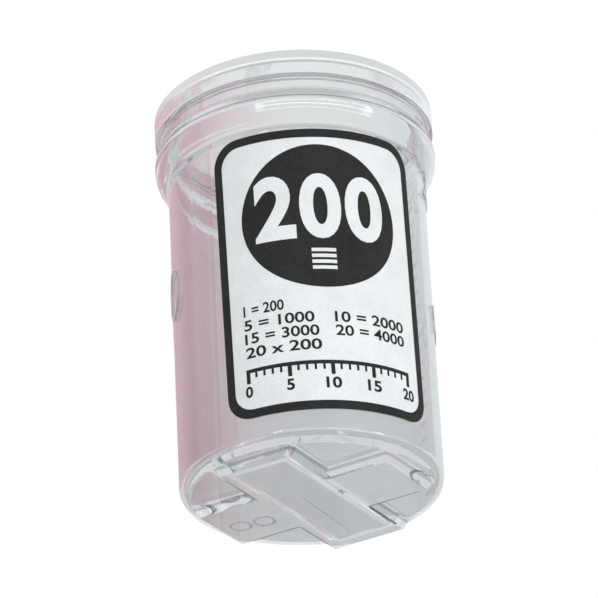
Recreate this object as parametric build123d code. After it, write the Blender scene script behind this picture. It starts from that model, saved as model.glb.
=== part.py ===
from build123d import *
from math import sin
import os

# Clear coin tube: a moulded tube with a cross foot, a press-on cap and a wrapped label.
# Millimetres, +Z up, origin at the middle of the plane that the foot stands on.
# The middle of the label faces -Y.

# The stack of coins that the tube is made for
coin_diameter = 26.5
coin_thickness = 1.81
coin_count = 20
coin_side_play = 1.1
coin_head_room = 1.15

# Moulded wall and floor
wall = 0.8
floor_thickness = 1.0
base_corner_radius = 1.3
bore_corner_radius = 0.4

# Cross foot: two crossed bars that stand proud of four sunk sectors, one of them hollow on the inside
foot_height = 1.1
foot_bar_width = 9.0
foot_end_inset = 2.55
foot_side_spread = 0.6
foot_end_spread = 0.7
foot_corner_radius = 1.0
foot_edge_radius = 0.3
foot_plate_thickness = 1.0
foot_side_wall = 1.15
foot_turn = 49.0

# Bead collar below the neck
collar_proud = 1.45
collar_shoulder_rise = 2.9
collar_band_height = 0.45
collar_crown_rise = 0.9
collar_crown_radius = 1.0
shoulder_root_radius = 0.4

# Neck, the ledge that the cap sits on and the spigot that it goes over
neck_inset = 0.55
neck_height = 1.8
neck_root_radius = 0.6
ledge_width = 0.35
spigot_height = 2.1
rim_radius = 0.25

# Press-on cap
cap_wall = 0.75
cap_top_thickness = 0.8
cap_edge_radius = 0.3
cap_lip_radius = 0.15
cap_fit_gap = 0.05
cap_rim_gap = 0.2

# Wrapped label
label_width = 24.0
label_thickness = 0.12
label_corner_radius = 3.0
label_lift = 4.5
label_top_gap = 0.45
label_tilt = 1.2

# Radii and heights that follow from the sizes above
bore_radius = (coin_diameter + coin_side_play) / 2
body_radius = bore_radius + wall
collar_radius = body_radius + collar_proud
neck_radius = collar_radius - neck_inset
spigot_radius = neck_radius - ledge_width
cap_bore_radius = spigot_radius + cap_fit_gap
cap_radius = cap_bore_radius + cap_wall

floor_top = foot_height + floor_thickness
shoulder_base = floor_top + coin_count * coin_thickness + coin_head_room
band_base = shoulder_base + collar_shoulder_rise
band_top = band_base + collar_band_height
collar_top = band_top + collar_crown_rise
ledge_height = collar_top + neck_height
rim_height = ledge_height + spigot_height
cap_underside = rim_height + cap_rim_gap
cap_top = cap_underside + cap_top_thickness
label_height = shoulder_base - label_top_gap - label_lift


def turned(points, corners, swell=None):
    """Solid of revolution about Z of a closed (radius, height) outline, with rounded corners.

    The optional swell is the number of the outline's side that bulges as the collar's shoulder.
    """
    sides = list(zip(points, points[1:] + points[:1]))
    shoulder_radius = (collar_proud**2 + collar_shoulder_rise**2) / (2 * collar_proud)
    with BuildSketch() as section:
        with BuildLine():
            for number, (start, end) in enumerate(sides):
                if number == swell:
                    RadiusArc(start, end, -shoulder_radius)
                else:
                    Line(start, end)
        make_face()
        for point, radius in corners:
            fillet(section.vertices().sort_by_distance(point)[0], radius)
    return revolve(Plane.XZ * section.sketch, Axis.Z)


def tube_outside():
    """The tube's outer form, solid to the axis."""
    outline = [
        (0, foot_height),
        (body_radius, foot_height),
        (body_radius, shoulder_base),
        (collar_radius, band_base),
        (collar_radius, band_top),
        (neck_radius, collar_top),
        (neck_radius, ledge_height),
        (spigot_radius, ledge_height),
        (spigot_radius, rim_height),
        (0, rim_height),
    ]
    corners = [
        (outline[1], base_corner_radius),
        (outline[2], shoulder_root_radius),
        (outline[4], collar_crown_radius),
        (outline[5], neck_root_radius),
        (outline[8], rim_radius),
    ]
    return turned(outline, corners, swell=2)


def tube_chamber():
    """The room for the coins, which follows the collar's bulge at the wall's thickness."""
    mouth_radius = spigot_radius - wall
    outline = [
        (0, floor_top),
        (bore_radius, floor_top),
        (bore_radius, shoulder_base),
        (collar_radius - wall, band_base),
        (collar_radius - wall, band_top),
        (mouth_radius, collar_top),
        (mouth_radius, rim_height),
        (0, rim_height),
    ]
    corners = [
        (outline[1], bore_corner_radius),
        (outline[4], collar_crown_radius),
        (outline[5], neck_root_radius),
    ]
    return turned(outline, corners, swell=2)


def foot_bar(width, reach, bottom, top):
    """A bar with rounded ends, which widens upwards from its lower face."""
    growth = (top - bottom) / foot_height
    low = RectangleRounded(2 * reach, width, foot_corner_radius)
    high = RectangleRounded(
        2 * (reach + growth * foot_end_spread),
        width + 2 * growth * foot_side_spread,
        foot_corner_radius,
    )
    return loft([Pos(Z=bottom) * low, Pos(Z=top) * high])


def pressed(form):
    """A form of the foot with a soft lower edge, turned to its place."""
    lower_edges = form.faces().sort_by(Axis.Z)[0].edges()
    return Rot(Z=foot_turn) * fillet(lower_edges, foot_edge_radius)


def make_tube():
    """The clear moulding: a turned wall with a cross pressed into its floor."""
    reach = body_radius - foot_end_inset
    bar = foot_bar(foot_bar_width, reach, 0, foot_height + floor_thickness / 2)
    foot = pressed(bar + Rot(Z=90) * bar)
    channel = pressed(
        foot_bar(
            foot_bar_width - 2 * foot_side_wall,
            reach - foot_side_wall,
            foot_plate_thickness,
            floor_top + floor_thickness / 2,
        )
    )
    return tube_outside() + foot - tube_chamber() - channel


def make_cap():
    """The shallow press-on cap, seated on the ledge."""
    outline = [
        (0, cap_underside),
        (cap_bore_radius, cap_underside),
        (cap_bore_radius, ledge_height),
        (cap_radius, ledge_height),
        (cap_radius, cap_top),
        (0, cap_top),
    ]
    corners = [(outline[1], rim_radius), (outline[3], cap_lip_radius), (outline[4], cap_edge_radius)]
    return turned(outline, corners)


def make_label():
    """The sticker, bent round the wall from a flat sheet with rounded corners and stuck on slightly askew."""
    edge_angle = label_width / 2 / body_radius
    corner_angle = edge_angle - label_corner_radius / body_radius
    edge = body_radius * sin(edge_angle)
    inner = body_radius * sin(corner_angle)
    straight = label_height - 2 * label_corner_radius
    sheet = Rectangle(2 * edge, straight) + Rectangle(2 * inner, label_height)
    for place in GridLocations(2 * inner, straight, 2, 2):
        sheet += place * Ellipse(edge - inner, label_corner_radius)
    middle = Pos(Z=label_lift + label_height / 2)
    outer = body_radius + label_thickness
    block = middle * extrude(Plane.XZ * (Rot(Z=label_tilt) * sheet), outer)
    sleeve_height = 1.1 * label_height
    sleeve = middle * (Cylinder(outer, sleeve_height) - Cylinder(body_radius, sleeve_height))
    return sleeve & block


os.makedirs("parts", exist_ok=True)
for name, solid in {"tube": make_tube(), "cap": make_cap(), "label": make_label()}.items():
    export_step(solid, f"parts/{name}.step")
    box = solid.bounding_box()
    print(f"{name}: {box.size.X:.2f} x {box.size.Y:.2f} x {box.size.Z:.2f} mm, {solid.volume:.1f} mm3")
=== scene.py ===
# %% [markdown]
# # A clear coin tube
# The object is a small clear moulded tube for a stack of coins, with a press-on cap and a paper label.
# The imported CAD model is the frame: it gives every size and place, in metres, and it never moves.
# This file dresses that frame. Each step says what the piece is on the real object, how it could be made and
# why it is made this way.

# %% Load the frame and keep its box
from math import asin, ceil, cos, pi, radians, sin, tan

import bmesh
import bpy
from mathutils import Matrix, Vector


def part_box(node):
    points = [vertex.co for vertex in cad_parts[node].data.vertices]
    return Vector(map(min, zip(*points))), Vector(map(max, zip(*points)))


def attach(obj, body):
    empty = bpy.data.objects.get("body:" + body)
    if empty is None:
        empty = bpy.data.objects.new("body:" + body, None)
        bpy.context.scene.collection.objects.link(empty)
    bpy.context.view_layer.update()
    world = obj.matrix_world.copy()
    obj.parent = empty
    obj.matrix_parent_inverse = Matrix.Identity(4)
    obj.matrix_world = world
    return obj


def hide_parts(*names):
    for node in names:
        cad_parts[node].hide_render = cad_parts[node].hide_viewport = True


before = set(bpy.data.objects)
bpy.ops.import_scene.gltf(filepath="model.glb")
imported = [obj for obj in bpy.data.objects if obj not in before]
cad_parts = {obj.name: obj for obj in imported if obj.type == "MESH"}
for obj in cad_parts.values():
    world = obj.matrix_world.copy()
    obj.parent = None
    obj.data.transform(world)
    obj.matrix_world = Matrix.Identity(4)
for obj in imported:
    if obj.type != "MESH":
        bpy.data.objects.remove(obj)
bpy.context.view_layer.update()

# %% [markdown]
# ## Sizes
# Radii and heights that the frame can give are read from it, so the looks follow the CAD if it changes.
# The rest are moulding details that the frame's boxes don't show, and each is named where it is first needed.

# %% Sizes read from the frame
MM = 0.001
tube_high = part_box("tube")[1]
cap_low, cap_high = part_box("cap")
label_low, label_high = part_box("label")

wall = 0.8 * MM
label_thickness = 0.12 * MM
collar_radius = tube_high.x
cap_radius = cap_high.x
body_radius = -label_low.y - label_thickness
bore_radius = body_radius - wall
rim_height = tube_high.z
ledge_height = cap_low.z
cap_top = cap_high.z
print(f"body radius {body_radius / MM:.2f} mm, collar radius {collar_radius / MM:.2f} mm")

# %% [markdown]
# ## Camera
# The photograph looks up at the base from a little left of the label's middle, with a long lens, so the sides
# of the tube almost stay parallel. Building the camera from azimuth, elevation, roll and distance keeps those
# four choices readable. A camera looks along its own -Z, so its matrix has right, up and back as columns.

# %% Camera at the photograph's viewing angle
camera_azimuth = radians(-10.5)
camera_elevation = radians(-27.29)
camera_roll = radians(-2.96)
camera_distance = 450.3 * MM
camera_aim = Vector((0, 0, 25.1 * MM))
camera_slide = (-0.37 * MM, 0.22 * MM)
frame_pixels = 598
focal_pixels = 3999
sensor_mm = 36

back = Vector((
    sin(camera_azimuth) * cos(camera_elevation),
    -cos(camera_azimuth) * cos(camera_elevation),
    sin(camera_elevation),
))
level_right = Vector((cos(camera_azimuth), sin(camera_azimuth), 0))
level_up = back.cross(level_right)
right = level_right * cos(camera_roll) + level_up * sin(camera_roll)
up = level_up * cos(camera_roll) - level_right * sin(camera_roll)

add_to_scene = bpy.context.scene.collection.objects.link
camera_data = bpy.data.cameras.new("photo_camera")
camera_data.sensor_width = sensor_mm
camera_data.lens = sensor_mm * focal_pixels / frame_pixels
camera_data.clip_start = 0.01
camera = bpy.data.objects.new("photo_camera", camera_data)
camera.matrix_world = Matrix((right, up, back)).transposed().to_4x4()
camera.matrix_world.translation = (
    camera_aim + back * camera_distance + right * camera_slide[0] + up * camera_slide[1]
)
add_to_scene(camera)
bpy.context.scene.camera = camera
print(f"lens {camera_data.lens:.1f} mm at {camera_distance / MM:.0f} mm")

# %% [markdown]
# ## Helpers for node trees
# Materials, the world and the repeated shapes are all node trees. Short helpers add a node and fill its
# first inputs, do sums, smooth steps and blends, and begin a material or a group.

# %% Helpers for node trees
def add_node(tree, kind, *values, **settings):
    """A node whose first inputs take the given values or sockets, in order."""
    node = tree.nodes.new(kind)
    for key, value in settings.items():
        setattr(node, key, value)
    for socket, value in zip(node.inputs, values):
        if isinstance(value, bpy.types.NodeSocket):
            tree.links.new(value, socket)
        elif value is not None:
            socket.default_value = value
    return node


def math(tree, operation, *values):
    """The result of one Math node."""
    return add_node(tree, "ShaderNodeMath", *values, operation=operation).outputs[0]


def stepped(tree, value, low, high):
    """Smooth 0 to 1 as the value goes from low to high."""
    return add_node(tree, "ShaderNodeMapRange", value, low, high, interpolation_type="SMOOTHSTEP").outputs[0]


def blended(tree, share, first, second):
    """The colour between two colours."""
    node = add_node(tree, "ShaderNodeMix", data_type="RGBA")
    for socket, value in zip((node.inputs[0], node.inputs[6], node.inputs[7]), (share, first, second)):
        if isinstance(value, bpy.types.NodeSocket):
            tree.links.new(value, socket)
        else:
            socket.default_value = value
    return node.outputs[2]


def new_material(name):
    """A material with its node tree and its Principled shader."""
    material = bpy.data.materials.new(name)
    material.use_nodes = True
    return material, material.node_tree, material.node_tree.nodes["Principled BSDF"]


def report(tree):
    """Says how large a node tree has become."""
    print(tree.name, "has", len(tree.nodes), "nodes")


def new_group(name, kind, inputs, outputs):
    """A node group with named sockets, and its input and output nodes."""
    tree = bpy.data.node_groups.new(name, kind)
    for label, socket_type, value in inputs:
        socket = tree.interface.new_socket(name=label, in_out="INPUT", socket_type=socket_type)
        if value is not None:
            socket.default_value = value
    for label, socket_type in outputs:
        tree.interface.new_socket(name=label, in_out="OUTPUT", socket_type=socket_type)
    return tree, tree.nodes.new("NodeGroupInput"), tree.nodes.new("NodeGroupOutput")


# %% [markdown]
# ## Clear plastic
# Real mouldings are never perfectly even: the melt freezes in slow ripples, and handling leaves faint haze.
# Every clear piece shares that unevenness, so it is a node group whose outputs are plain values. The shader
# itself stays in each material.

# %% Shared effect: flow ripple and haze of a moulding
flow, flow_in, flow_out = new_group(
    "moulded_flow",
    "ShaderNodeTree",
    [
        ("Ripple Size", "NodeSocketFloat", 6 * MM),
        ("Lowest Roughness", "NodeSocketFloat", 0.01),
        ("Highest Roughness", "NodeSocketFloat", 0.035),
    ],
    [("Height", "NodeSocketFloat"), ("Roughness", "NodeSocketFloat"), ("Cloud", "NodeSocketFloat")],
)
upright_stretch = (1, 1, 0.45)
cloud_share = 0.55
flow_place = add_node(flow, "ShaderNodeTexCoord").outputs["Object"]
flow_scale = math(flow, "DIVIDE", 1, flow_in.outputs["Ripple Size"])
stretched = add_node(flow, "ShaderNodeMapping", flow_place, None, None, upright_stretch).outputs[0]
ripple = add_node(flow, "ShaderNodeTexNoise", stretched, None, flow_scale, 1.5, 0.45).outputs[0]
cloud_scale = math(flow, "MULTIPLY", flow_scale, cloud_share)
cloud = add_node(flow, "ShaderNodeTexNoise", flow_place, None, cloud_scale, 3, 0.6).outputs[0]
low_haze, high_haze = flow_in.outputs["Lowest Roughness"], flow_in.outputs["Highest Roughness"]
haze = add_node(flow, "ShaderNodeMapRange", cloud, 0.35, 0.7, low_haze, high_haze).outputs[0]
flow.links.new(ripple, flow_out.inputs["Height"])
flow.links.new(haze, flow_out.inputs["Roughness"])
flow.links.new(cloud, flow_out.inputs["Cloud"])
report(flow)

# %% [markdown]
# Painted shade draws thin dark lines under the cap, in the neck's groove and in the angles of the foot.
# They could be painted on a UV map, but a mask between two heights is enough, because these seams lie
# level. The heights are Object coordinates, so the cap keeps its line when it is lifted.

# %% Shared effect: painted shade between two heights
seam_shade, seam_shade_in, seam_shade_out = new_group(
    "painted_seam_shade",
    "ShaderNodeTree",
    [
        ("Low", "NodeSocketFloat", 0.0),
        ("High", "NodeSocketFloat", MM),
        ("Softness", "NodeSocketFloat", 0.1 * MM),
    ],
    [("Mask", "NodeSocketFloat")],
)
seam_shade_place = add_node(seam_shade, "ShaderNodeTexCoord").outputs["Object"]
height = add_node(seam_shade, "ShaderNodeSeparateXYZ", seam_shade_place).outputs[2]
seam_shade_low, seam_shade_high, softness = seam_shade_in.outputs["Low"], seam_shade_in.outputs["High"], seam_shade_in.outputs["Softness"]
from_low = stepped(seam_shade, height, seam_shade_low, math(seam_shade, "ADD", seam_shade_low, softness))
to_high = stepped(seam_shade, height, seam_shade_high, math(seam_shade, "SUBTRACT", seam_shade_high, softness))
seam_shade.links.new(math(seam_shade, "MULTIPLY", from_low, to_high), seam_shade_out.inputs["Mask"])
report(seam_shade)

# %% [markdown]
# Clear plastic bends light, mirrors a little of the room and tints what passes. Lamps should still reach
# what is inside and behind it, so a Transparent shader lets shadow rays through. It also takes rays that
# were mirrored many times inside the wall, which would otherwise end as black spots.

# %% Clear plastic
# Painted shade: the dark colour mixed in along seams, where the parts meet and the surface turns.
painted_shade_colour = (0.2, 0.19, 0.21, 1)
shadow_tint = (0.96, 0.97, 0.975, 1)
refractive_index = 1.5
most_mirrorings = 2.5
most_bounces = 8.5


def make_clear(name, low_tint, high_tint, ripple_depth, *shaded_seams):
    """A clear moulding with its tint range, depth of ripple and painted seam shade (lowest, highest, how
    dark).
    """
    material, tree, shader = new_material(name)
    group = add_node(tree, "ShaderNodeGroup", node_tree=flow)
    tint = blended(tree, group.outputs["Cloud"], (*low_tint, 1), (*high_tint, 1))
    # Each seam mixes in painted shade, a dark line between two heights.
    for low, high, share in shaded_seams:
        seam = add_node(tree, "ShaderNodeGroup", low, high, node_tree=seam_shade)
        tint = blended(tree, math(tree, "MULTIPLY", seam.outputs["Mask"], share), tint, painted_shade_colour)
    bump = add_node(tree, "ShaderNodeBump")
    bump.inputs["Distance"].default_value = ripple_depth
    bump.inputs["Strength"].default_value = 1
    tree.links.new(group.outputs["Height"], bump.inputs["Height"])
    tree.links.new(tint, shader.inputs["Base Color"])
    tree.links.new(group.outputs["Roughness"], shader.inputs["Roughness"])
    tree.links.new(bump.outputs[0], shader.inputs["Normal"])
    shader.inputs["Metallic"].default_value = 0
    shader.inputs["Transmission Weight"].default_value = 1
    shader.inputs["IOR"].default_value = refractive_index
    let_through = add_node(tree, "ShaderNodeBsdfTransparent", shadow_tint)
    path = add_node(tree, "ShaderNodeLightPath").outputs
    guided = math(tree, "GREATER_THAN", path["Glossy Depth"], most_mirrorings)
    trapped = math(tree, "MAXIMUM", guided, math(tree, "GREATER_THAN", path["Ray Depth"], most_bounces))
    straight = math(tree, "MAXIMUM", path["Is Shadow Ray"], trapped)
    mixed = add_node(tree, "ShaderNodeMixShader", straight, shader.outputs[0], let_through.outputs[0])
    tree.links.new(mixed.outputs[0], tree.nodes["Material Output"].inputs["Surface"])
    return material


# %% Clear plastic of the tube, of the cap and of the fine marks, with painted shade at seams and edges
neck_height = 1.8 * MM
cap_seam = ledge_height
neck_groove = ledge_height - neck_height
foot_seam = 1.04 * MM
# Painted shade in dark lines under the cap's lip, in the neck's groove and in the angles of the foot.
clear_plastic = make_clear(
    "clear_plastic", (0.77, 0.785, 0.795), (0.83, 0.845, 0.855), 0.02 * MM,
    (cap_seam - 0.32 * MM, cap_seam + 0.1 * MM, 0.85),
    (neck_groove - 0.25 * MM, neck_groove + 0.4 * MM, 0.25),
    (foot_seam - 0.42 * MM, foot_seam, 0.7),
)
# The cap gets the same painted shade along its lip.
cap_plastic = make_clear(
    "cap_plastic", (0.95, 0.955, 0.955), (0.99, 0.995, 0.995), 0.015 * MM,
    (cap_seam - 0.1 * MM, cap_seam + 0.12 * MM, 0.85),
)
# A greyer clear plastic for the raised figures and loops, also used for painted shade along one edge of the
# foot.
mark_and_edge_shade_plastic = make_clear("mark_and_edge_shade_plastic", (0.55, 0.555, 0.565), (0.63, 0.635, 0.645), 0.01 * MM)
# A nearly black clear plastic for painted shade: dark lines along the foot's bar edges.
edge_shade_plastic = make_clear("edge_shade_plastic", (0.12, 0.12, 0.13), (0.18, 0.18, 0.19), 0.01 * MM)
print("clear materials:", clear_plastic.name, cap_plastic.name, mark_and_edge_shade_plastic.name, edge_shade_plastic.name)

# %% [markdown]
# ## Paper and ink
# The sticker is coated paper, so it shows a fine fibre grain and a slightly uneven white. The ink lies on the
# same fibres: it shares their grain, and it is blotchy where it soaked in. One group serves both.

# %% Shared effect: fibre grain of coated paper
grain, grain_in, grain_out = new_group(
    "paper_grain",
    "ShaderNodeTree",
    [
        ("Fibre Size", "NodeSocketFloat", 0.25 * MM),
        ("Dark", "NodeSocketColor", (0.5, 0.5, 0.5, 1)),
        ("Light", "NodeSocketColor", (0.6, 0.6, 0.6, 1)),
    ],
    [("Color", "NodeSocketColor"), ("Height", "NodeSocketFloat"), ("Roughness", "NodeSocketFloat")],
)
grain_place = add_node(grain, "ShaderNodeTexCoord").outputs["Object"]
fibre_scale = math(grain, "DIVIDE", 1, grain_in.outputs["Fibre Size"])
blotch_scale = math(grain, "MULTIPLY", fibre_scale, 0.06)
fibres = add_node(grain, "ShaderNodeTexNoise", grain_place, None, fibre_scale, 2, 0.6).outputs[0]
blotch = add_node(grain, "ShaderNodeTexNoise", grain_place, None, blotch_scale, 3, 0.6).outputs[0]
mottle = math(grain, "MULTIPLY", math(grain, "ADD", fibres, blotch), 0.5)
shade = blended(grain, stepped(grain, mottle, 0.3, 0.7), grain_in.outputs["Dark"], grain_in.outputs["Light"])
gloss = add_node(grain, "ShaderNodeMapRange", blotch, 0.3, 0.7, 0.45, 0.62).outputs[0]
grain.links.new(shade, grain_out.inputs["Color"])
grain.links.new(fibres, grain_out.inputs["Height"])
grain.links.new(gloss, grain_out.inputs["Roughness"])
report(grain)


# %% Paper and ink
fibre_height = 0.004 * MM


def make_printed(name, dark, light, gloss):
    """Paper or ink: the fibre grain between two close colours."""
    material, tree, shader = new_material(name)
    group = add_node(tree, "ShaderNodeGroup", node_tree=grain)
    group.inputs["Dark"].default_value = (*dark, 1)
    group.inputs["Light"].default_value = (*light, 1)
    bump = add_node(tree, "ShaderNodeBump")
    bump.inputs["Distance"].default_value = fibre_height
    tree.links.new(group.outputs["Height"], bump.inputs["Height"])
    tree.links.new(group.outputs["Color"], shader.inputs["Base Color"])
    tree.links.new(group.outputs["Roughness"], shader.inputs["Roughness"])
    tree.links.new(bump.outputs[0], shader.inputs["Normal"])
    shader.inputs["Specular IOR Level"].default_value = gloss
    return material


label_paper = make_printed("label_paper", (0.58, 0.605, 0.615), (0.68, 0.705, 0.715), 0.3)
black_ink = make_printed("black_ink", (0.011, 0.012, 0.010), (0.024, 0.025, 0.023), 0.12)
print("print materials:", label_paper.name, black_ink.name)

# %% [markdown]
# ## Outlines that are turned
# The tube's wall and the cap are round mouldings, so each starts as a line of (radius, height) corners.
# Corners on a moulding are never sharp, and on clear plastic all the bright and dark lines come from them,
# so a small helper swaps each one for an arc. Marking edges sharp would cut the mirror images, so a
# Weighted Normal modifier lets the large faces lead the shading instead.

# %% Helpers for turned outlines
arc_steps = 6


def rounded_line(corners):
    """Points of a line whose corners (radius, height, edge radius) are swapped for arcs."""
    points = []
    for number, (r, z, edge) in enumerate(corners):
        here = Vector((r, z))
        if edge == 0:
            points.append(here)
            continue
        before = (Vector(corners[number - 1][:2]) - here).normalized()
        after = (Vector(corners[number + 1][:2]) - here).normalized()
        half_angle = before.angle(after) / 2
        middle = here + (before + after).normalized() * (edge / sin(half_angle))
        start = here + before * (edge / tan(half_angle)) - middle
        end = here + after * (edge / tan(half_angle)) - middle
        turn = start.angle_signed(end)
        for step in range(arc_steps + 1):
            points.append(middle + Matrix.Rotation(-turn * step / arc_steps, 2) @ start)
    return points


def swelling(start, end, steps=10):
    """Corners along an arc that leaves one (radius, height) point and ends upright at another."""
    out, rise = end[0] - start[0], end[1] - start[1]
    arc_radius = (out**2 + rise**2) / (2 * out)
    corners = []
    for step in range(1, steps + 1):
        angle = asin(rise / arc_radius) * (1 - step / steps)
        corners.append((end[0] - arc_radius * (1 - cos(angle)), end[1] - arc_radius * sin(angle), 0))
    return corners


def join_loops(bm, lower, upper):
    """Quads between two closed loops of as many points."""
    count = len(lower)
    for number in range(count):
        following = (number + 1) % count
        bm.faces.new((lower[number], lower[following], upper[following], upper[number]))


def baked(source):
    """The final mesh of a helper object, which is removed again."""
    add_to_scene(source)
    evaluated = source.evaluated_get(bpy.context.evaluated_depsgraph_get())
    mesh = bpy.data.meshes.new_from_object(evaluated)
    bpy.data.objects.remove(source)
    return mesh


def finished(name, bm, material, smooth=True):
    """An object from a bmesh whose shells are closed."""
    bmesh.ops.recalc_face_normals(bm, faces=bm.faces)
    mesh = bpy.data.meshes.new(name)
    bm.to_mesh(mesh)
    bm.free()
    mesh.polygons.foreach_set("use_smooth", [smooth] * len(mesh.polygons))
    mesh.materials.append(material)
    piece = bpy.data.objects.new(name, mesh)
    add_to_scene(piece)
    print(f"{name}: {len(mesh.vertices)} points, {len(mesh.polygons)} faces")
    return piece


def keep_flats_flat(piece):
    """Lets large faces lead the shading."""
    weighted = piece.modifiers.new("weighted_normals", "WEIGHTED_NORMAL")
    weighted.keep_sharp = False


# %% [markdown]
# ## The tube
# The tube is one closed shell: an outer skin, an inner skin and the rim that joins them. Its floor is pressed
# into a cross, so a plain turned mesh would cut across the cross's straight edges and make them wobble.
# The floor is therefore a square grid whose lines run along the bars, with a ring of quads out to the circle.

# %% Heights of the pressed floor
foot_height = 1.1 * MM
foot_turn = radians(49)
bar_half_width = 4.5 * MM
bar_reach = 12.05 * MM
side_spread = 0.6 * MM
end_spread = 0.7 * MM
floor_thickness = 1.0 * MM
foot_side_wall = 1.15 * MM
base_corner_radius = 1.3 * MM
bore_corner_radius = 0.4 * MM
edge_softness = 0.1 * MM
channel_softness = 0.3 * MM


def eased(value, low, high):
    """Smooth step from 0 at low to 1 at high."""
    share = min(max((value - low) / (high - low), 0), 1)
    return share * share * (3 - 2 * share)


def bar_share(along, across, inset, softness):
    """1 on the flat of one bar, 0 beside it, with a moulded slope between."""
    side, end = bar_half_width - inset, bar_reach - inset
    beside = eased(abs(across), side - softness, side + side_spread + softness)
    beyond = eased(abs(along), end - softness, end + end_spread + softness)
    return (1 - beside) * (1 - beyond)


def outer_height(x, y):
    """Underside of the floor: both bars stand proud of the sunk sectors."""
    proud = max(bar_share(x, y, 0, edge_softness), bar_share(y, x, 0, edge_softness))
    return foot_height * (1 - proud)


def inner_height(x, y):
    """Upper side of the floor: flat, with a channel along one bar."""
    return floor_thickness + foot_height * (1 - bar_share(x, y, foot_side_wall, channel_softness))


# %% Grid of the pressed floor
def graded(*stretches):
    """Rising values from stretches of (start, end, steps)."""
    values = [stretches[0][0]]
    for start, end, steps in stretches:
        values += [start + (end - start) * step / steps for step in range(1, steps + 1)]
    return values


bar_zone = 5.1 * MM
half_lines = [value * MM for value in graded((0, 2.6, 4), (2.6, 4.2, 10), (4.2, 5.1, 16), (5.1, 6.2, 10))]
grid_lines = [-value for value in half_lines[:0:-1]] + half_lines
last_line = len(grid_lines) - 1
grid_half = grid_lines[-1]
ring_shares = graded((0, 0.62, 10), (0.62, 1, 34))[1:]
print(f"floor grid of {len(grid_lines)} lines each way, with {len(ring_shares)} rings round it")


def rim_angle(across, radius):
    """Direction in which a grid line on one side of the square meets the floor's circle."""
    zone_angle = asin(bar_zone / radius)
    if abs(across) <= bar_zone:
        return asin(across / radius)
    share = (abs(across) - bar_zone) / (grid_half - bar_zone)
    return (zone_angle + share * (pi / 4 - zone_angle)) * (1 if across > 0 else -1)


def floor_skin(bm, radius, height_at):
    """Adds one side of the floor, and returns the loop of points on its circle with their directions."""
    square = [[bm.verts.new((x, y, height_at(x, y))) for y in grid_lines] for x in grid_lines]
    for i in range(last_line):
        for j in range(last_line):
            bm.faces.new((square[i][j], square[i + 1][j], square[i + 1][j + 1], square[i][j + 1]))
    border = [square[last_line][j] for j in range(last_line)]
    border += [square[last_line - i][last_line] for i in range(last_line)]
    border += [square[0][last_line - j] for j in range(last_line)]
    border += [square[i][0] for i in range(last_line)]
    angles = [rim_angle(grid_lines[j], radius) + side * pi / 2 for side in range(4) for j in range(last_line)]
    loop = border
    for share in ring_shares:
        ring = []
        for vertex, angle in zip(border, angles):
            x = vertex.co.x * (1 - share) + radius * cos(angle) * share
            y = vertex.co.y * (1 - share) + radius * sin(angle) * share
            ring.append(bm.verts.new((x, y, height_at(x, y))))
        join_loops(bm, loop, ring)
        loop = ring
    return loop, angles


# %% Outlines of the tube's wall
collar_rise = 2.9 * MM
band_height = 0.45 * MM
crown_rise = 0.9 * MM
neck_inset = 0.55 * MM
ledge_width = 0.35 * MM
shoulder_root_radius = 1.2 * MM
crown_radius = 1.0 * MM
neck_root_radius = 0.6 * MM
ledge_edge_radius = 0.1 * MM
rim_edge_radius = 0.12 * MM
nearly_whole = 0.999

neck_radius = collar_radius - neck_inset
spigot_radius = neck_radius - ledge_width
mouth_radius = spigot_radius - wall
collar_top = ledge_height - neck_height
band_top = collar_top - crown_rise
band_base = band_top - band_height
shoulder_base = band_base - collar_rise
floor_top = foot_height + floor_thickness

outer_outline = [
    (body_radius - base_corner_radius, foot_height, 0),
    (body_radius, foot_height, base_corner_radius * nearly_whole),
    (body_radius, shoulder_base, shoulder_root_radius),
    *swelling((body_radius, shoulder_base), (collar_radius, band_base))[2:],
    (collar_radius, band_top, crown_radius),
    (neck_radius, collar_top, neck_root_radius),
    (neck_radius, ledge_height, ledge_edge_radius),
    (spigot_radius, ledge_height, ledge_edge_radius),
    (spigot_radius, rim_height, rim_edge_radius),
    (mouth_radius, rim_height, rim_edge_radius),
]
inner_outline = [
    (mouth_radius, collar_top, neck_root_radius),
    (collar_radius - wall, band_top, crown_radius),
    *swelling((bore_radius, shoulder_base), (collar_radius - wall, band_base))[:1:-1],
    (bore_radius, shoulder_base, shoulder_root_radius),
    (bore_radius, floor_top, bore_corner_radius * nearly_whole),
    (bore_radius - bore_corner_radius, floor_top, 0),
]
print(f"shoulder from {shoulder_base / MM:.2f} mm, collar top at {collar_top / MM:.2f} mm")


# %% Closed shell of the tube
def make_tube():
    """The clear tube as one closed shell."""
    bm = bmesh.new()
    outer_loop, angles = floor_skin(bm, body_radius - base_corner_radius, outer_height)
    inner_loop, _ = floor_skin(bm, bore_radius - bore_corner_radius, inner_height)
    loop = outer_loop
    for r, z in rounded_line(outer_outline + inner_outline)[1:-1]:
        ring = [bm.verts.new((r * cos(angle), r * sin(angle), z)) for angle in angles]
        join_loops(bm, loop, ring)
        loop = ring
    join_loops(bm, loop, inner_loop)
    bmesh.ops.rotate(bm, verts=bm.verts, matrix=Matrix.Rotation(foot_turn, 3, "Z"))
    return finished("tube_shell", bm, clear_plastic)


tube_shell = make_tube()
keep_flats_flat(tube_shell)
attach(tube_shell, "tube")
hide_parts("tube")

# %% [markdown]
# ## The cap
# The cap is a shallow cup pressed over the spigot. It is a purely turned part, so its outline is handed to a
# Geometry Nodes lathe: a flat grid whose columns are laid round the axis and whose rows follow the outline.
# The seam and the two middle points are merged afterwards, which leaves a closed shell.

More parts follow.
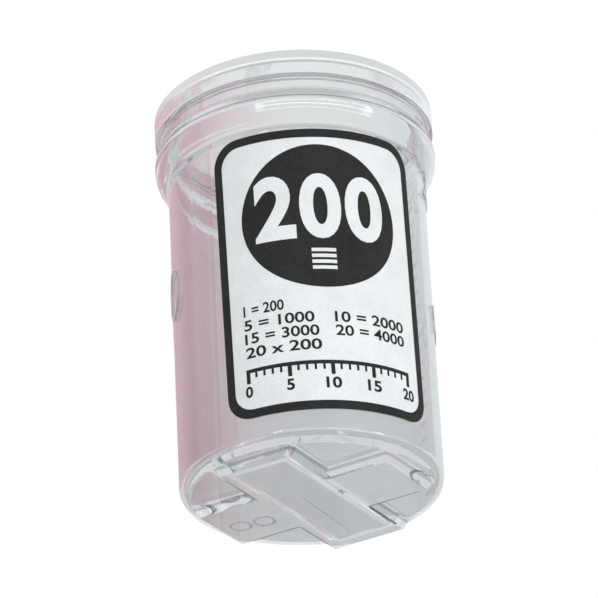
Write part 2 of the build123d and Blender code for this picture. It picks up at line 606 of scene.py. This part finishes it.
# %% Lathe as a node group
lathe, lathe_in, lathe_out = new_group(
    "lathe",
    "GeometryNodeTree",
    [
        ("Geometry", "NodeSocketGeometry", None),
        ("Segments", "NodeSocketInt", 128),
        ("Merge Distance", "NodeSocketFloat", 0.001 * MM),
        ("Material", "NodeSocketMaterial", None),
    ],
    [("Geometry", "NodeSocketGeometry")],
)
outline_in, segments = lathe_in.outputs["Geometry"], lathe_in.outputs["Segments"]
outline_size = add_node(lathe, "GeometryNodeAttributeDomainSize", outline_in).outputs["Point Count"]
sheet_grid = add_node(lathe, "GeometryNodeMeshGrid", 1, 1, math(lathe, "ADD", segments, 1), outline_size)
number = add_node(lathe, "GeometryNodeInputIndex").outputs[0]
row = math(lathe, "MODULO", number, outline_size)
column = math(lathe, "FLOOR", math(lathe, "DIVIDE", number, outline_size))
sampled = add_node(lathe, "GeometryNodeSampleIndex", outline_in, data_type="FLOAT_VECTOR")
lathe.links.new(add_node(lathe, "GeometryNodeInputPosition").outputs[0], sampled.inputs["Value"])
lathe.links.new(row, sampled.inputs["Index"])
spot = add_node(lathe, "ShaderNodeSeparateXYZ", sampled.outputs[0]).outputs
turn = math(lathe, "DIVIDE", math(lathe, "MULTIPLY", column, 2 * pi), segments)
turned_x = math(lathe, "MULTIPLY", spot[0], math(lathe, "COSINE", turn))
turned_y = math(lathe, "MULTIPLY", spot[0], math(lathe, "SINE", turn))
turned_spot = add_node(lathe, "ShaderNodeCombineXYZ", turned_x, turned_y, spot[2]).outputs[0]
moved = add_node(lathe, "GeometryNodeSetPosition", sheet_grid.outputs["Mesh"], None, turned_spot)
merged = add_node(lathe, "GeometryNodeMergeByDistance", moved.outputs[0])
lathe.links.new(lathe_in.outputs["Merge Distance"], merged.inputs["Distance"])
whole = add_node(lathe, "GeometryNodeRealizeInstances", merged.outputs[0])
dressed = add_node(lathe, "GeometryNodeSetMaterial", whole.outputs[0], None, lathe_in.outputs["Material"])
lathe.links.new(dressed.outputs[0], lathe_out.inputs[0])
report(lathe)


def from_nodes(name, tree, values, start=None, smooth=True):
    """A plain mesh object made by a Geometry Nodes tree with the given named inputs."""
    source = bpy.data.objects.new(name + "_source", start or bpy.data.meshes.new(name + "_start"))
    modifier = source.modifiers.new("nodes", "NODES")
    modifier.node_group = tree
    for socket in tree.interface.items_tree:
        if socket.in_out == "INPUT" and socket.name in values:
            modifier[socket.identifier] = values[socket.name]
    bm = bmesh.new()
    bm.from_mesh(baked(source))
    return finished(name, bm, values["Material"], smooth)


# %% Cap, turned from its outline
cap_wall = 0.75 * MM
cap_top_thickness = 0.8 * MM
cap_corner_radius = 0.06 * MM
cap_lip_radius = 0.15 * MM
cap_edge_radius = 0.3 * MM
cap_segments = 192
cap_bore_radius = cap_radius - cap_wall
cap_underside = cap_top - cap_top_thickness

cap_line = rounded_line([
    (0, cap_underside, 0),
    (cap_bore_radius, cap_underside, cap_corner_radius),
    (cap_bore_radius, ledge_height, cap_lip_radius),
    (cap_radius, ledge_height, cap_lip_radius),
    (cap_radius, cap_top, cap_edge_radius),
    (0, cap_top, 0),
])
cap_outline = bpy.data.meshes.new("cap_outline")
cap_outline.from_pydata([(r, 0, z) for r, z in cap_line], [(n, n + 1) for n in range(len(cap_line) - 1)], [])
cap_values = {"Segments": cap_segments, "Material": cap_plastic}
cap_shell = from_nodes("cap_shell", lathe, cap_values, cap_outline)
keep_flats_flat(cap_shell)
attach(cap_shell, "cap")
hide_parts("cap")

# %% [markdown]
# ## Bending flat artwork round the wall
# A sticker is drawn flat and then wrapped. The same is done here: shapes are drawn in a plane, sliced into
# narrow upright strips that can follow the curve, thickened and bent. A Shrinkwrap modifier would change
# their width, and paper doesn't stretch.

# %% Helpers for wrapped artwork
slice_width = 0.5 * MM
weld = 0.0005 * MM


def wrapped_point(x, y, lift):
    """Where a point of the flat drawing lands on the wall, lifted off its surface."""
    angle = x / body_radius
    return Vector(((body_radius + lift) * sin(angle), -(body_radius + lift) * cos(angle), y))


def wrapped(name, bm, lift, thickness, material, tilt=0, middle=(0, 0)):
    """The flat faces of a bmesh, sliced, thickened and bent round the wall."""
    bmesh.ops.rotate(bm, verts=bm.verts, matrix=Matrix.Rotation(tilt, 3, "Z"))
    bmesh.ops.translate(bm, verts=bm.verts, vec=(*middle, 0))
    bmesh.ops.remove_doubles(bm, verts=bm.verts, dist=weld)
    low = min(vertex.co.x for vertex in bm.verts)
    high = max(vertex.co.x for vertex in bm.verts)
    count = max(1, ceil((high - low) / slice_width))
    for cut in range(1, count):
        everything = bm.verts[:] + bm.edges[:] + bm.faces[:]
        x = low + (high - low) * cut / count
        bmesh.ops.bisect_plane(bm, geom=everything, dist=weld, plane_co=(x, 0, 0), plane_no=(1, 0, 0))
    faces, points = bm.faces[:], bm.verts[:]
    borders = [edge for edge in bm.edges if len(edge.link_faces) == 1]
    upper = {point: bm.verts.new(wrapped_point(point.co.x, point.co.y, lift + thickness)) for point in points}
    for face in faces:
        bm.faces.new([upper[point] for point in face.verts])
    for edge in borders:
        first, second = edge.verts
        bm.faces.new((first, second, upper[second], upper[first]))
    for point in points:
        point.co = wrapped_point(point.co.x, point.co.y, lift)
    piece = finished(name, bm, material, smooth=False)
    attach(piece, "tube")
    return piece


def rounded_sheet(width, height, corner, steps=10):
    """Outline of a flat sheet with rounded corners, round the origin."""
    outline = []
    for quarter, (sign_x, sign_y) in enumerate(((1, 1), (-1, 1), (-1, -1), (1, -1))):
        for step in range(steps + 1):
            angle = pi / 2 * (quarter + step / steps)
            x = sign_x * (width / 2 - corner) + corner * cos(angle)
            outline.append((x, sign_y * (height / 2 - corner) + corner * sin(angle)))
    return outline


def flat_face(outline):
    """A bmesh with one flat face, which has the given outline."""
    bm = bmesh.new()
    bm.faces.new([bm.verts.new((x, y, 0)) for x, y in outline])
    return bm


def flat_ring(outer, inner):
    """A bmesh with flat quads between two outlines of as many points."""
    bm = bmesh.new()
    join_loops(bm, [bm.verts.new((x, y, 0)) for x, y in outer], [bm.verts.new((x, y, 0)) for x, y in inner])
    return bm


# %% [markdown]
# ## The label
# The sticker is a white sheet with rounded corners and a bold black border, stuck on by hand and therefore
# not quite straight. Its print is layered like real ink: the border and the disc first, then what stands on
# them. Thin solid layers keep its edges crisp.

# %% Paper sheet, border and disc
label_width = 24.0 * MM
label_height = 34.5 * MM
label_corner = 3.0 * MM
label_tilt = radians(1.2)
label_middle = (0, (label_low.z + label_high.z) / 2)
paper_gap = 0.02 * MM
paper_face = paper_gap + label_thickness
ink_step = 0.015 * MM
border_width = 1.0 * MM
disc_radius = 8.9 * MM
disc_rise = 6.37 * MM
disc_points = 120


def printed(name, bm, layer, material):
    """Print on the label, one ink layer above the other."""
    lift = paper_face + layer * ink_step
    return wrapped(name, bm, lift, ink_step, material, label_tilt, label_middle)


sheet_outline = rounded_sheet(label_width, label_height, label_corner)
label_sheet = wrapped(
    "label_sheet", flat_face(sheet_outline), paper_gap, label_thickness, label_paper, label_tilt, label_middle
)
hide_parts("label")

border_corner = label_corner - 0.8 * border_width
border_inner = rounded_sheet(label_width - 2 * border_width, label_height - 2.1 * border_width, border_corner)
printed("label_border", flat_ring(sheet_outline, border_inner), 0, black_ink)
disc_angles = [2 * pi * n / disc_points for n in range(disc_points)]
disc_outline = [(disc_radius * cos(angle), disc_rise + disc_radius * sin(angle)) for angle in disc_angles]
printed("label_disc", flat_face(disc_outline), 0, black_ink)


# %% [markdown]
# The number on the disc and the small rows are plain numbers: how many coins make which value. They are made
# from Blender's own text, which is turned into a mesh, fitted to its place and then wrapped like everything
# else.

# %% Printed numbers
def text_faces(text, left, bottom, height, width=None, weight=0.0, bm=None, spacing=1.0):
    """A bmesh with the flat faces of one more line of text, fitted to a height and, if given, to a width."""
    bm = bm or bmesh.new()
    data = bpy.data.curves.new("line", "FONT")
    data.body = text
    data.offset = weight
    data.space_character = spacing
    data.resolution_u = 6
    mesh = baked(bpy.data.objects.new("line", data))
    xs = [vertex.co.x for vertex in mesh.vertices]
    ys = [vertex.co.y for vertex in mesh.vertices]
    scale_y = height / (max(ys) - min(ys))
    scale_x = width / (max(xs) - min(xs)) if width else scale_y
    to_place = Matrix.Translation((left, bottom, 0)) @ Matrix.Diagonal((scale_x, scale_y, 1, 1))
    mesh.transform(to_place @ Matrix.Translation((-min(xs), -min(ys), 0)))
    bm.from_mesh(mesh)
    return bm


number_width = 14.75 * MM
number_height = 8.15 * MM
number_rise = 3.45 * MM
number_left = -number_width / 2
big_number = text_faces("200", number_left, number_rise, number_height, number_width, 0.035, spacing=1.12)
printed("label_number", big_number, 1, label_paper)

row_left = -9.4 * MM
row_height = 1.3 * MM
row_weight = 0.02
rows = None
for text, bottom, width in (
    ("1 = 200", -5.0, 4.6),
    ("5 = 1000   10 = 2000", -6.75, 18.6),
    ("15 = 3000   20 = 4000", -8.4, 18.6),
    ("20 x 200", -10.1, 8.4),
):
    rows = text_faces(text, row_left, bottom * MM, row_height, width * MM, row_weight, rows)
printed("label_rows", rows, 0, black_ink)

# %% [markdown]
# ## Bars in a row, wrapped round the wall
# Rulers, scales and pictograms are all rows of bars. One Geometry Nodes tree makes them: a line of points,
# a bar on each, every so many of them longer, and then the same bend that the sticker got. Named inputs let
# one tree serve print and moulding.

# %% Inputs of the wrapped bars
bars, bars_in, bars_out = new_group(
    "wrapped_bars",
    "GeometryNodeTree",
    [
        ("Count", "NodeSocketInt", 5),
        ("Start", "NodeSocketVector", (0, 0, 0)),
        ("Step", "NodeSocketVector", (MM, 0, 0)),
        ("Bar Size", "NodeSocketVector", (MM, MM, MM)),
        ("Long Every", "NodeSocketInt", 1),
        ("Long Scale", "NodeSocketVector", (1, 1, 1)),
        ("Tilt", "NodeSocketFloat", 0.0),
        ("Wall Radius", "NodeSocketFloat", body_radius),
        ("Lift", "NodeSocketFloat", 0.0),
        ("Middle Angle", "NodeSocketFloat", 0.0),
        ("Middle Height", "NodeSocketFloat", 0.0),
        ("Material", "NodeSocketMaterial", None),
    ],
    [("Geometry", "NodeSocketGeometry")],
)
asked = bars_in.outputs

# %% Row of bars
line = add_node(bars, "GeometryNodeMeshLine", asked["Count"], mode="OFFSET")
bars.links.new(asked["Start"], line.inputs["Start Location"])
bars.links.new(asked["Step"], line.inputs["Offset"])
cube = add_node(bars, "GeometryNodeMeshCube", asked["Bar Size"], 49, 2, 2)
bar_length = add_node(bars, "ShaderNodeSeparateXYZ", asked["Bar Size"]).outputs[1]
hang = add_node(bars, "ShaderNodeCombineXYZ", 0, math(bars, "MULTIPLY", bar_length, -0.5), 0).outputs[0]
bar = add_node(bars, "GeometryNodeTransform", cube.outputs["Mesh"])
bars.links.new(hang, bar.inputs["Translation"])
index = add_node(bars, "GeometryNodeInputIndex").outputs[0]
is_long = math(bars, "LESS_THAN", math(bars, "MODULO", index, asked["Long Every"]), 0.5)
bar_scale = add_node(bars, "ShaderNodeMix", data_type="VECTOR")
bars.links.new(is_long, bar_scale.inputs[0])
bar_scale.inputs[4].default_value = (1, 1, 1)
bars.links.new(asked["Long Scale"], bar_scale.inputs[5])
placed = add_node(bars, "GeometryNodeInstanceOnPoints", line.outputs[0], None, bar.outputs[0])
bars.links.new(bar_scale.outputs[1], placed.inputs["Scale"])
real = add_node(bars, "GeometryNodeRealizeInstances", placed.outputs[0])

# %% Bend of the bars round the wall
position = add_node(bars, "GeometryNodeInputPosition").outputs[0]
tilted = add_node(bars, "ShaderNodeVectorRotate", position, rotation_type="Z_AXIS")
bars.links.new(asked["Tilt"], tilted.inputs["Angle"])
flat = add_node(bars, "ShaderNodeSeparateXYZ", tilted.outputs[0]).outputs
angle = math(bars, "ADD", math(bars, "DIVIDE", flat[0], asked["Wall Radius"]), asked["Middle Angle"])
reach = math(bars, "ADD", math(bars, "ADD", flat[2], asked["Lift"]), asked["Wall Radius"])
bent_x = math(bars, "MULTIPLY", reach, math(bars, "SINE", angle))
bent_y = math(bars, "MULTIPLY", math(bars, "MULTIPLY", reach, -1), math(bars, "COSINE", angle))
bent_z = math(bars, "ADD", flat[1], asked["Middle Height"])
bent = add_node(bars, "ShaderNodeCombineXYZ", bent_x, bent_y, bent_z).outputs[0]
laid = add_node(bars, "GeometryNodeSetPosition", real.outputs[0], None, bent)
inked = add_node(bars, "GeometryNodeSetMaterial", laid.outputs[0], None, asked["Material"])
bars.links.new(inked.outputs[0], bars_out.inputs[0])
report(bars)


def wrapped_bars(name, material, **values):
    """One row of wrapped bars, as a plain mesh that goes with the tube."""
    named = {key.replace("_", " ").title(): value for key, value in values.items()}
    piece = from_nodes(name, bars, {"Wall Radius": body_radius, "Material": material, **named}, smooth=False)
    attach(piece, "tube")
    return piece


# %% Ruler and stack sign on the label
def label_bars(name, material, layer, **values):
    """A row of bars that is printed on the label."""
    lift = paper_face + (layer + 0.5) * ink_step
    return wrapped_bars(name, material, tilt=label_tilt, lift=lift, middle_height=label_middle[1], **values)


ruler_length = 18.6 * MM
ruler_left = -ruler_length / 2
ruler_coins = 20
ruler_step = ruler_length / ruler_coins
label_bars(
    "ruler_ticks", black_ink, 0, count=ruler_coins + 1,
    start=(ruler_left, -11.7 * MM, 0), step=(ruler_step, 0, 0),
    bar_size=(0.26 * MM, 0.8 * MM, ink_step), long_every=5, long_scale=(1.7, 1.75, 1),
)
label_bars(
    "ruler_line", black_ink, 0, count=1, start=(0, -11.4 * MM, 0), bar_size=(19.04 * MM, 0.45 * MM, ink_step),
)
label_bars(
    "stack_sign", label_paper, 1, count=4, start=(0, 0.1 * MM, 0), step=(0, 0.72 * MM, 0),
    bar_size=(2.7 * MM, 0.42 * MM, ink_step),
)
ruler_numbers = None
for count in (0, 5, 10, 15, 20):
    figures = str(count)
    wide = 0.85 * MM * len(figures)
    left = ruler_left + count * ruler_step - wide / 2
    ruler_numbers = text_faces(figures, left, -14.75 * MM, 1.35 * MM, wide, 0.03, ruler_numbers)
printed("ruler_numbers", ruler_numbers, 0, black_ink)

# %% [markdown]
# ## The moulded scale
# The clear wall carries a faint raised scale: one short bar for each coin, a longer one for every fifth,
# and figures beside it. Raised strokes on a moulding are round beads, so the figures are drawn as strokes
# and swept.

# %% Scale bars on the wall
coin_thickness = 1.81 * MM
first_bar = floor_top + coin_thickness + 0.15 * MM
wrapped_bars(
    "scale_bars", clear_plastic, count=20, start=(0, first_bar, 0), step=(0, coin_thickness, 0),
    bar_size=(2.0 * MM, 0.3 * MM, 0.24 * MM), long_every=5, long_scale=(1.7, 1.2, 1), lift=0.07 * MM,
    middle_angle=radians(98),
)


# %% Beads along strokes
def bead(name, strokes, radius, material):
    """Round beads along strokes, each a list of points and whether it is closed."""
    data = bpy.data.curves.new(name, "CURVE")
    data.dimensions = "3D"
    data.bevel_depth = radius
    data.bevel_resolution = 2
    data.use_fill_caps = True
    for points, closed in strokes:
        spline = data.splines.new("POLY")
        spline.points.add(len(points) - 1)
        for target, point in zip(spline.points, points):
            target.co = (*point, 1)
        spline.use_cyclic_u = closed
    bm = bmesh.new()
    bm.from_mesh(baked(bpy.data.objects.new(name + "_source", data)))
    bmesh.ops.remove_doubles(bm, verts=bm.verts, dist=weld)
    piece = finished(name, bm, material)
    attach(piece, "tube")
    return piece


def figure(sign, left, bottom, width, height):
    """Flat strokes of one figure, fitted to a box."""
    oval = [(0.5 + 0.5 * cos(2 * pi * n / 32), 0.5 + 0.5 * sin(2 * pi * n / 32)) for n in range(32)]
    bends = [radians(165 - 12 * n) for n in range(18)]
    crook = [(0.5 + 0.5 * cos(bend), 0.72 + 0.28 * sin(bend)) for bend in bends]
    shapes = {
        "0": (oval, True),
        "1": ([(0.1, 0.8), (0.5, 1), (0.5, 0.5), (0.5, 0)], False),
        "2": (crook + [(0, 0), (0.5, 0), (1, 0)], False),
    }
    points, closed = shapes[sign]
    return [(left + width * x, bottom + height * y) for x, y in points], closed


figure_pitch = 1.3
figure_sink = 0.05 * MM


def wall_figures(name, signs, left_angle, bottom, width, height, radius):
    """Figures as beads on the wall, from the angle of their left side on."""
    strokes = []
    for place, sign in enumerate(signs):
        left = left_angle * body_radius + figure_pitch * place * width
        points, closed = figure(sign, left, bottom, width, height)
        strokes.append(([wrapped_point(x, y, -figure_sink) for x, y in points], closed))
    return bead(name, strokes, radius, mark_and_edge_shade_plastic)


wall_figures("scale_figure_10_left", "10", radians(-115), 21.9 * MM, 3.9 * MM, 5.9 * MM, 0.26 * MM)
wall_figures("scale_figure_20", "20", radians(66), 36.2 * MM, 2.4 * MM, 3.4 * MM, 0.22 * MM)
wall_figures("scale_figure_10", "10", radians(67), 19.2 * MM, 2.4 * MM, 3.4 * MM, 0.22 * MM)

# %% [markdown]
# ## Marks in the foot
# Under the foot fine dark lines run along the edges of the bars and along the middle of one bar, and a small
# mark of two loops sits on the other. The lines along the edges are painted shade: dark beads standing for
# the dark refraction at those edges. The middle line and the loops, as grooves cut into the shell, would need
# a far finer grid, so they and the edge lines are thin beads just inside the plastic, and the foot still
# stands flat.

# %% Lines and loops in the foot, and painted shade along the bars' edges
line_rise = 0.16 * MM
loop_rise = 0.24 * MM
loop_radius = 1.15


def foot_point(along, across, rise):
    """A point given along and across the first bar of the foot."""
    return Matrix.Rotation(foot_turn, 3, "Z") @ Vector((along, across, rise))


def foot_stroke(*places):
    """An open stroke through places along and across the first bar, in mm."""
    return [foot_point(along * MM, across * MM, line_rise) for along, across in places], False


middle_line = foot_stroke((-5.3, 0), (-2, 0.1), (2, 0.25), (6, 0.45), (9, 0.6))
near_notch = foot_stroke((-10.4, -4.42), (-4.8, -4.42), (-4.5, -4.5), (-4.42, -4.8), (-4.42, -10.4))
far_notch = foot_stroke((10.4, 4.42), (4.8, 4.42), (4.5, 4.5), (4.42, 4.8), (4.42, 10.6))
right_notch = foot_stroke((4.42, -11), (4.42, -4.8), (4.5, -4.5), (4.8, -4.42), (10.4, -4.42))
left_notch = foot_stroke((-4.4, 4.42), (-8, 4.42), (-10.8, 4.42))
# The middle line and the near notch share one bead; the notch line is painted shade along the bars' edges.
bead("foot_middle_line_and_edge_shade", [middle_line, near_notch], 0.1 * MM, mark_and_edge_shade_plastic)
# Painted shade: dark beads along the far bar edges, standing for their dark refraction.
bead("foot_painted_edge_shade", [far_notch, right_notch, left_notch], 0.11 * MM, edge_shade_plastic)
loops = []
for along, across in ((0.35, 9.6), (0.8, 6.8)):
    swings = [2 * pi * step / 32 for step in range(32)]
    ring = [(along + loop_radius * cos(swing), across + loop_radius * sin(swing)) for swing in swings]
    loops.append(([foot_point(x * MM, y * MM, loop_rise) for x, y in ring], True))
bead("foot_loops", loops, 0.2 * MM, mark_and_edge_shade_plastic)

# %% [markdown]
# ## Stage and light
# The photograph is a cut-out on pure white, so rays from the camera see plain white. Clear plastic shows
# what is around it, so every other ray sees a soft studio: a backdrop that grows brighter upwards, with a
# narrow bright strip behind the cap, darker overhead and beneath, and a wide lamp with a bright frame in
# front. Panels could be real objects, but steps of elevation and azimuth are easier to move.

# %% Studio world: backdrop
bpy.context.scene.view_settings.view_transform = "Standard"
world = bpy.data.worlds.new("studio")
world.use_nodes = True
sky = world.node_tree
direction = add_node(sky, "ShaderNodeTexCoord").outputs["Generated"]
aim = add_node(sky, "ShaderNodeSeparateXYZ", direction).outputs
elevation = math(sky, "ARCSINE", aim[2])
azimuth = math(sky, "ARCTAN2", aim[0], math(sky, "MULTIPLY", aim[1], -1))

ceiling_shade = 0.3
ground_shade = 0.6
strip_gain = 0.1
overhead = stepped(sky, elevation, radians(60), radians(72))
beneath = stepped(sky, elevation, radians(-52), radians(-66))
darker_above = math(sky, "MULTIPLY", overhead, ceiling_shade)
darker_below = math(sky, "MULTIPLY", beneath, ground_shade)
shade = math(sky, "ADD", darker_above, darker_below)
rising = add_node(sky, "ShaderNodeMapRange", elevation, radians(22), radians(30.3), 0.75, 0.95).outputs[0]
strip_low = stepped(sky, elevation, radians(30.3), radians(30.45))
strip_high = stepped(sky, elevation, radians(31.4), radians(31.2))
bright_strip = math(sky, "MULTIPLY", strip_low, strip_high)
backdrop = math(sky, "ADD", rising, math(sky, "MULTIPLY", bright_strip, strip_gain))
room = math(sky, "MULTIPLY", backdrop, math(sky, "SUBTRACT", 1, shade))

# %% Studio world: framed lamp in front
frame_azimuth = camera_azimuth + radians(18)
frame_elevation = radians(13)
frame_strength = 5
lamp_side = math(sky, "ABSOLUTE", math(sky, "SUBTRACT", azimuth, frame_azimuth))
lamp_rise = math(sky, "ABSOLUTE", math(sky, "SUBTRACT", elevation, frame_elevation))
lamp_whole = math(
    sky, "MULTIPLY",
    stepped(sky, lamp_side, radians(48), radians(46)), stepped(sky, lamp_rise, radians(8.5), radians(8)),
)
lamp_pane = math(
    sky, "MULTIPLY",
    stepped(sky, lamp_side, radians(41), radians(39)), stepped(sky, lamp_rise, radians(5.5), radians(5)),
)
lamp = math(sky, "SUBTRACT", lamp_whole, lamp_pane)
level = math(sky, "ADD", room, math(sky, "MULTIPLY", lamp, frame_strength))

# %% [markdown]
# In the photograph the left wall looks warm and the right wall slightly cool. Clear plastic has no such
# colours of its own, so they stand behind it, in the part of the backdrop that shows through the tube.

# %% Studio world: colours seen through the tube
to_right = add_node(sky, "ShaderNodeVectorMath", direction, tuple(right), operation="DOT_PRODUCT")
aside = to_right.outputs["Value"]
far_side = stepped(sky, aim[1], 0.4, 0.6)
above_base = stepped(sky, elevation, radians(20), radians(22))
below_top = stepped(sky, elevation, radians(36), radians(33))
beside_strip = math(sky, "SUBTRACT", 1, bright_strip)
sight = math(sky, "MULTIPLY", math(sky, "MULTIPLY", above_base, below_top), beside_strip)
seen_through = math(sky, "MULTIPLY", far_side, sight)
left_cast = math(sky, "MULTIPLY", seen_through, stepped(sky, aside, 0.0, -0.1))
right_cast = math(sky, "MULTIPLY", seen_through, stepped(sky, aside, 0.035, 0.085))
plain = (1, 1, 1, 1)
warm = (0.74, 0.45, 0.53, 1)
cool = (0.93, 0.98, 1, 1)
cast = blended(sky, right_cast, blended(sky, left_cast, plain, warm), cool)
studio = add_node(sky, "ShaderNodeBackground", cast, level).outputs[0]
white = add_node(sky, "ShaderNodeBackground", plain, 1.0).outputs[0]
from_camera = add_node(sky, "ShaderNodeLightPath").outputs["Is Camera Ray"]
seen = add_node(sky, "ShaderNodeMixShader", from_camera, studio, white)
sky.links.new(seen.outputs[0], sky.nodes["World Output"].inputs["Surface"])
bpy.context.scene.world = world
report(sky)

# %% [markdown]
# A world alone leaves hardly any shadow. One large soft Sun lamp from the right lights the paper and lays a
# soft shadow on the floor. Its disc would show as a hard spot in the plastic, so mirrored and bent rays
# don't see it.

# %% Soft lamp from the right
lamp_azimuth, lamp_elevation = radians(30), radians(35)
lamp_data = bpy.data.lights.new("soft_lamp", "SUN")
lamp_data.energy = 1.0
lamp_data.angle = radians(25)
soft_lamp = bpy.data.objects.new("soft_lamp", lamp_data)
lamp_from = Vector((
    sin(lamp_azimuth) * cos(lamp_elevation), -cos(lamp_azimuth) * cos(lamp_elevation), sin(lamp_elevation)
))
soft_lamp.rotation_euler = lamp_from.to_track_quat("Z", "Y").to_euler()
soft_lamp.visible_glossy = False
soft_lamp.visible_transmission = False
add_to_scene(soft_lamp)
print(f"{soft_lamp.name}: strength {lamp_data.energy:.1f}")

# %% [markdown]
# The floor is a plain pale sheet that keeps the shadow. The photograph looks up from below it, so its
# underside lets rays pass. It fades out towards its edge and belongs to the stage, not to the object.

# %% Floor
floor_half = 150 * MM
floor_drop = 0.1 * MM
floor_grey = 0.8
fade_start, fade_end = 0.3, 0.98
floor_material, tree, shader = new_material("pale_floor")
shader.inputs["Base Color"].default_value = (floor_grey, floor_grey, floor_grey, 1)
shader.inputs["Roughness"].default_value = 0.9
shader.inputs["Specular IOR Level"].default_value = 0
spread = add_node(tree, "ShaderNodeTexCoord").outputs["Object"]
middle_distance = add_node(tree, "ShaderNodeVectorMath", spread, operation="LENGTH").outputs["Value"]
faded = stepped(tree, middle_distance, fade_start * floor_half, fade_end * floor_half)
from_below = add_node(tree, "ShaderNodeNewGeometry").outputs["Backfacing"]
gone = math(tree, "MAXIMUM", faded, from_below)
clear = add_node(tree, "ShaderNodeBsdfTransparent").outputs[0]
mixed = add_node(tree, "ShaderNodeMixShader", gone, shader.outputs[0], clear)
tree.links.new(mixed.outputs[0], tree.nodes["Material Output"].inputs["Surface"])

floor_corners = [(x * floor_half, y * floor_half) for x, y in ((-1, -1), (1, -1), (1, 1), (-1, 1))]
floor_bm = flat_face(floor_corners)
bmesh.ops.translate(floor_bm, verts=floor_bm.verts, vec=(0, 0, -floor_drop))
floor_mesh = bpy.data.meshes.new("floor")
floor_bm.to_mesh(floor_mesh)
floor_bm.free()
floor_mesh.materials.append(floor_material)
floor = bpy.data.objects.new("floor", floor_mesh)
floor.visible_glossy = False
add_to_scene(floor)
print(f"floor {2 * floor_half / MM:.0f} mm wide")
